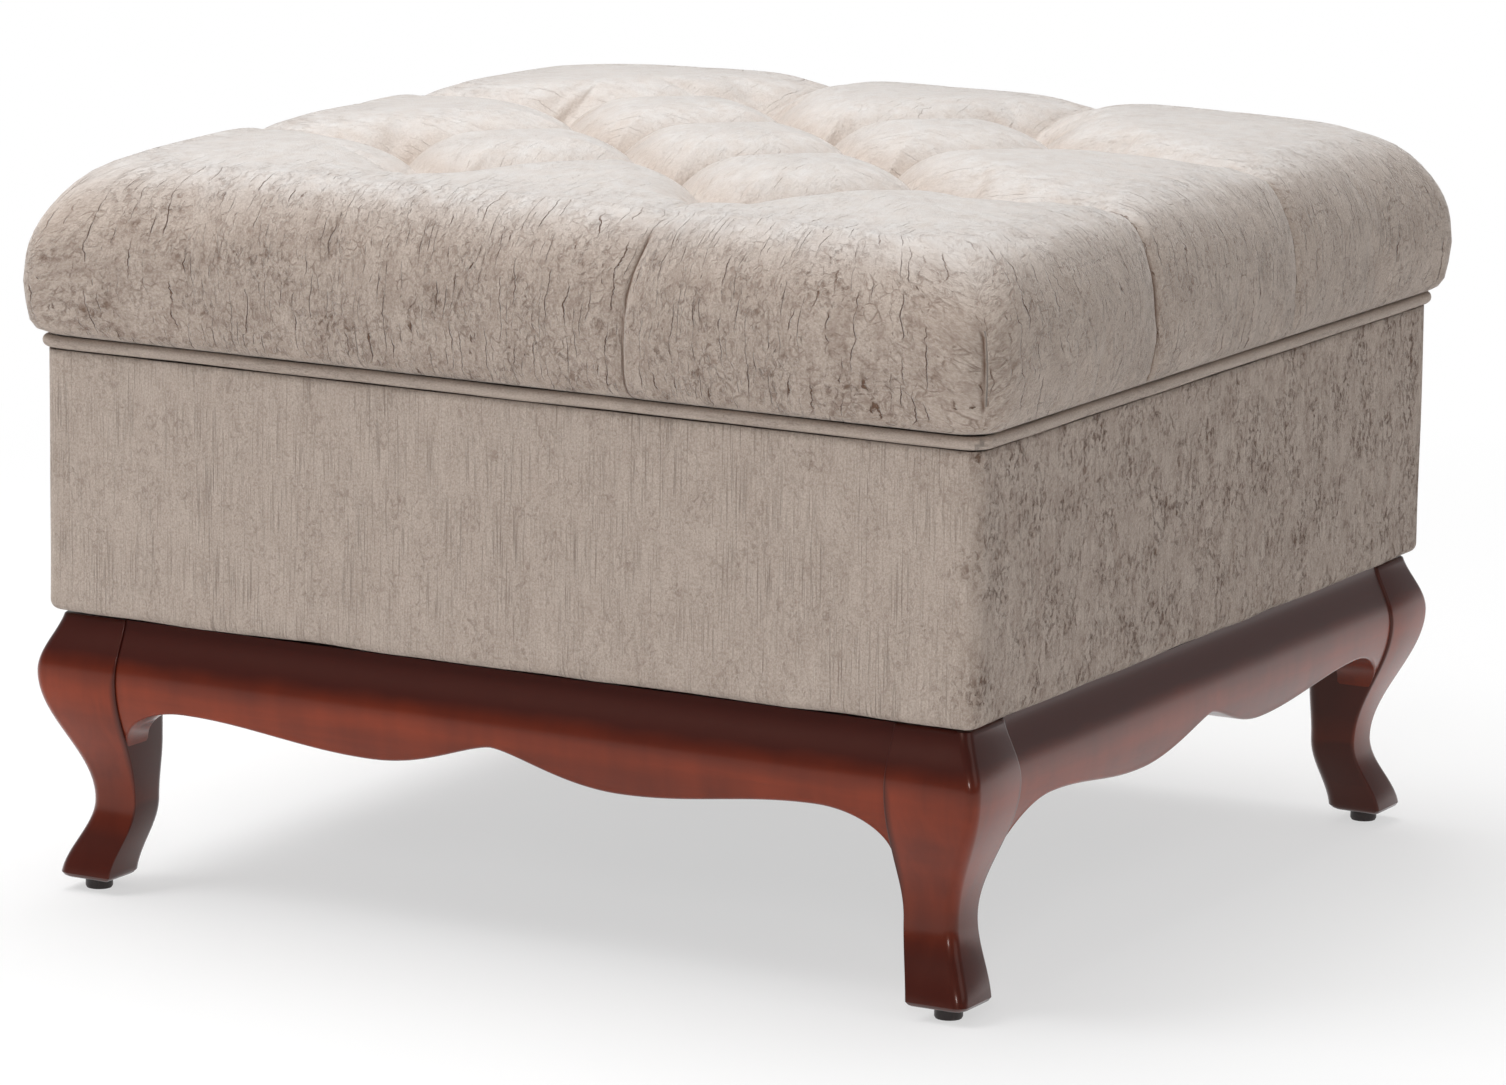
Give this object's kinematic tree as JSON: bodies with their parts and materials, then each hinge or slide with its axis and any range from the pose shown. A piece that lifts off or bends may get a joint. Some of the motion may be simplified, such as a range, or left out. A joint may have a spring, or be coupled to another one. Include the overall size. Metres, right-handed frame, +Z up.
{
  "type": "upholstered stool",
  "caption": "Square upholstered footstool: a deep-tufted cushion sewn with a welt to a cloth-covered box, on a carved wooden frame with curved legs.",
  "frame": {"origin": "on the floor, under the middle of the stool", "axes": "+Z up, +X towards the stool's right side, -Y towards its front"},
  "size_m": [0.636, 0.636, 0.4377],
  "materials": {
    "velvet": "crushed velvet, taupe, with a pale sheen on top",
    "frame_wood": "mahogany stain under semi-gloss lacquer",
    "plain_wood": "planed softwood, unfinished",
    "deck_board": "raw plywood",
    "foam": "upholstery foam",
    "padding": "polyester wadding",
    "dust_cloth": "black nonwoven dust cloth",
    "glide": "dark moulded plastic",
    "screw_steel": "zinc plated"
  },
  "bodies": {
    "root": {"leg_front_left": "frame_wood", "leg_front_right": "frame_wood", "leg_back_right": "frame_wood", "leg_back_left": "frame_wood", "apron_front": "frame_wood", "apron_right": "frame_wood", "apron_back": "frame_wood", "apron_left": "frame_wood", "corner_block_front_left": "plain_wood", "corner_block_front_right": "plain_wood", "corner_block_back_right": "plain_wood", "corner_block_back_left": "plain_wood", "frame_screw_front_left": "screw_steel", "frame_screw_front_right": "screw_steel", "frame_screw_back_right": "screw_steel", "frame_screw_back_left": "screw_steel", "block_screw_front_left_a": "screw_steel", "block_screw_front_left_b": "screw_steel", "block_screw_front_right_a": "screw_steel", "block_screw_front_right_b": "screw_steel", "block_screw_back_right_a": "screw_steel", "block_screw_back_right_b": "screw_steel", "block_screw_back_left_a": "screw_steel", "block_screw_back_left_b": "screw_steel", "glide_front_left": "glide", "glide_front_right": "glide", "glide_back_right": "glide", "glide_back_left": "glide", "box_panel_front": "plain_wood", "box_panel_right": "plain_wood", "box_panel_back": "plain_wood", "box_panel_left": "plain_wood", "box_post_front_left": "plain_wood", "box_post_front_right": "plain_wood", "box_post_back_right": "plain_wood", "box_post_back_left": "plain_wood", "deck_board": "deck_board", "foam_core": "foam", "side_padding": "padding", "tufted_cover": "velvet", "side_cover": "velvet", "welt_cord": "velvet", "dust_cover": "dust_cloth", "tuft_button_01": "velvet", "tuft_button_02": "velvet", "tuft_button_03": "velvet", "tuft_button_04": "velvet", "tuft_button_05": "velvet", "tuft_button_06": "velvet", "tuft_button_07": "velvet", "tuft_button_08": "velvet", "tuft_button_09": "velvet", "tuft_button_10": "velvet", "tuft_button_11": "velvet", "tuft_button_12": "velvet"}
  },
  "joints": []
}
